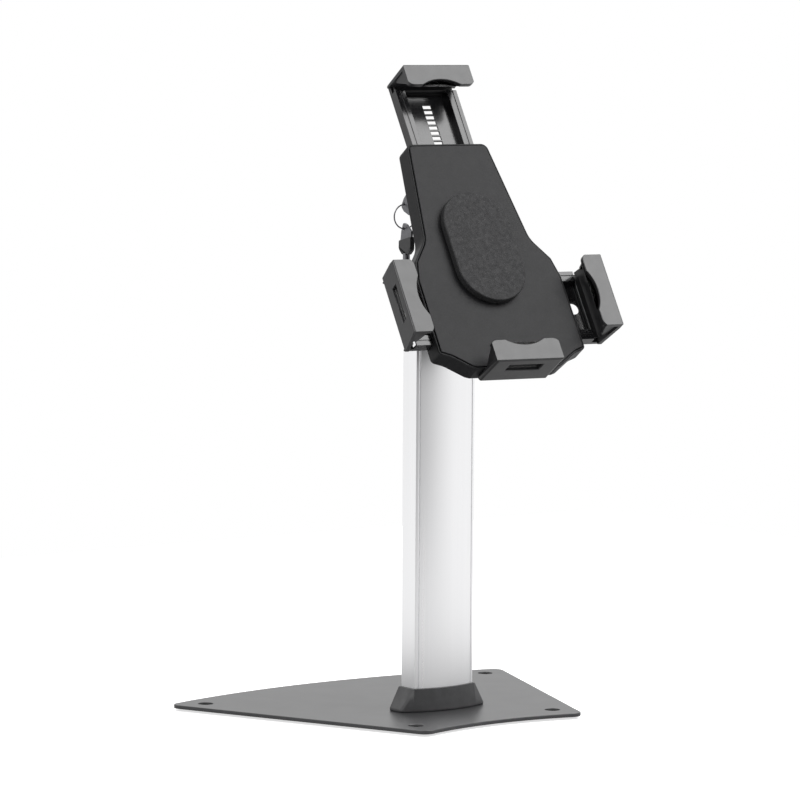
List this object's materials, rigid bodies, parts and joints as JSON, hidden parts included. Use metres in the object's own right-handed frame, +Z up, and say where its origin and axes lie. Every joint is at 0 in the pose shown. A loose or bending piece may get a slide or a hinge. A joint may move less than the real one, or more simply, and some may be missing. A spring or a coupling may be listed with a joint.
{
  "type": "anti-theft tablet desk stand",
  "caption": "Desk stand that grips a tablet in sliding hooked arms on a key-locked holder that tilts, turns and swivels on a column above a flat steel base.",
  "frame": {"origin": "on the table under the middle of the whole stand, in the plane the feet stand on", "axes": "+Z up, +X to the right as the user sees it, -Y towards the user, with the column upright along Z"},
  "size_m": [0.3254, 0.2934, 0.5071],
  "materials": {
    "plate_paint": "fine black powder coat",
    "foot_rubber": "matte black",
    "collar_plastic": "satin black",
    "column_anodised": "satin anodised",
    "cap_paint": "satin black",
    "neck_paint": "satin black",
    "bright_screws": "zinc plated",
    "dark_fasteners": "black oxide",
    "nylon": "plain",
    "spring_steel": "plain",
    "case_plastic": "fine black texture",
    "pad_rubber": "speckled black",
    "arm_paint": "glossy black",
    "claw_paint": "satin black",
    "liner_rubber": "matte black",
    "lock_metal": "polished",
    "pawl_steel": "plain",
    "key_metal": "plated",
    "key_plastic": "moulded black"
  },
  "bodies": {
    "root": {"base_plate": "plate_paint", "rubber_feet": "foot_rubber", "column_collar": "collar_plastic", "column": "column_anodised", "column_screws": "bright_screws", "column_cap": "cap_paint", "cap_screws": "bright_screws", "swivel_washer": "nylon"},
    "neck": {"neck_bracket": "neck_paint", "swivel_spring": "spring_steel", "swivel_nut": "dark_fasteners", "hinge_bolt": "dark_fasteners", "hinge_nut": "dark_fasteners", "hinge_washers": "nylon"},
    "yoke": {"tilt_yoke": "neck_paint", "turn_bolt": "dark_fasteners", "turn_nut": "dark_fasteners", "slip_washer": "nylon", "spring_washer": "spring_steel"},
    "holder": {"rear_housing": "case_plastic", "front_plate": "case_plastic", "housing_screws": "bright_screws", "grip_pad": "pad_rubber", "clamp_screws": "dark_fasteners", "clamp_nuts": "dark_fasteners", "lock_barrel": "lock_metal", "pawl_spring": "spring_steel"},
    "lock_core": {"lock_plug": "lock_metal", "lock_cam": "pawl_steel"},
    "pawl": {"pawl": "pawl_steel"},
    "key": {"key": "key_metal", "key_head": "key_plastic"},
    "ring": {"key_ring": "key_metal"},
    "spare": {"spare_key": "key_metal", "spare_key_head": "key_plastic"},
    "top_clamp": {"top_arm": "arm_paint", "top_claw": "claw_paint", "top_liner": "liner_rubber", "top_claw_screws": "bright_screws"},
    "bottom_clamp": {"bottom_arm": "arm_paint", "bottom_claw": "claw_paint", "bottom_liner": "liner_rubber", "bottom_claw_screws": "bright_screws"},
    "left_clamp": {"left_arm": "arm_paint", "left_claw": "claw_paint", "left_liner": "liner_rubber", "left_claw_screws": "bright_screws"},
    "right_clamp": {"right_arm": "arm_paint", "right_claw": "claw_paint", "right_liner": "liner_rubber", "right_claw_screws": "bright_screws"}
  },
  "joints": [
    {"name": "neck_swivel", "type": "hinge", "parent": "root", "child": "neck", "pos_m": [0, -0.0083, 0.309], "axis": [0, 0, 1], "range_deg": [-38, 52]},
    {"name": "holder_tilt", "type": "hinge", "parent": "neck", "child": "yoke", "pos_m": [-0.00306, -0.03321, 0.3417], "axis": [0.9925, -0.1219, 0], "range_deg": [-56, 28]},
    {"name": "holder_turn", "type": "hinge", "parent": "yoke", "child": "holder", "pos_m": [-0.00753, -0.06963, 0.36599], "axis": [0.1016, 0.8277, -0.5519], "range_deg": [-90, 90]},
    {"name": "top_arm_slide", "type": "slide", "parent": "holder", "child": "top_clamp", "axis": [0.0673, 0.5478, 0.8339], "range_m": [-0.05181, 0.01413]},
    {"name": "bottom_arm_slide", "type": "slide", "parent": "holder", "child": "bottom_clamp", "axis": [-0.0673, -0.5478, -0.8339], "range_m": [0, 0.022]},
    {"name": "left_arm_slide", "type": "slide", "parent": "holder", "child": "left_clamp", "axis": [-0.9925, 0.1219, 0], "range_m": [-0.018, 0.016]},
    {"name": "right_arm_slide", "type": "slide", "parent": "holder", "child": "right_clamp", "axis": [0.9925, -0.1219, 0], "range_m": [-0.018, 0.016]},
    {"name": "key_turn", "type": "hinge", "parent": "holder", "child": "lock_core", "pos_m": [-0.02506, -0.01134, 0.40813], "axis": [0.1016, 0.8277, -0.5519], "range_deg": [0, 90]},
    {"name": "pawl_slide", "type": "slide", "parent": "holder", "child": "pawl", "axis": [-0.1016, -0.8277, 0.5519], "range_m": [0, 0.0024], "deforming": ["pawl_spring"]},
    {"name": "key_pull", "type": "slide", "parent": "lock_core", "child": "key", "axis": [0.1016, 0.8277, -0.5519], "range_m": [0, 0.012]},
    {"name": "ring_swing", "type": "hinge", "parent": "key", "child": "ring", "pos_m": [-0.0228, 0.00708, 0.39921], "axis": [0.9925, -0.1219, 0], "range_deg": [-20, 45]},
    {"name": "spare_swing", "type": "hinge", "parent": "ring", "child": "spare", "pos_m": [-0.0228, 0.00708, 0.38021], "axis": [0.9925, -0.1219, 0], "range_deg": [-30, 45]}
  ],
  "couplings": [
    {"joint": "pawl_slide", "follows": "key_turn", "m_per_rad": 0.0015278}
  ]
}
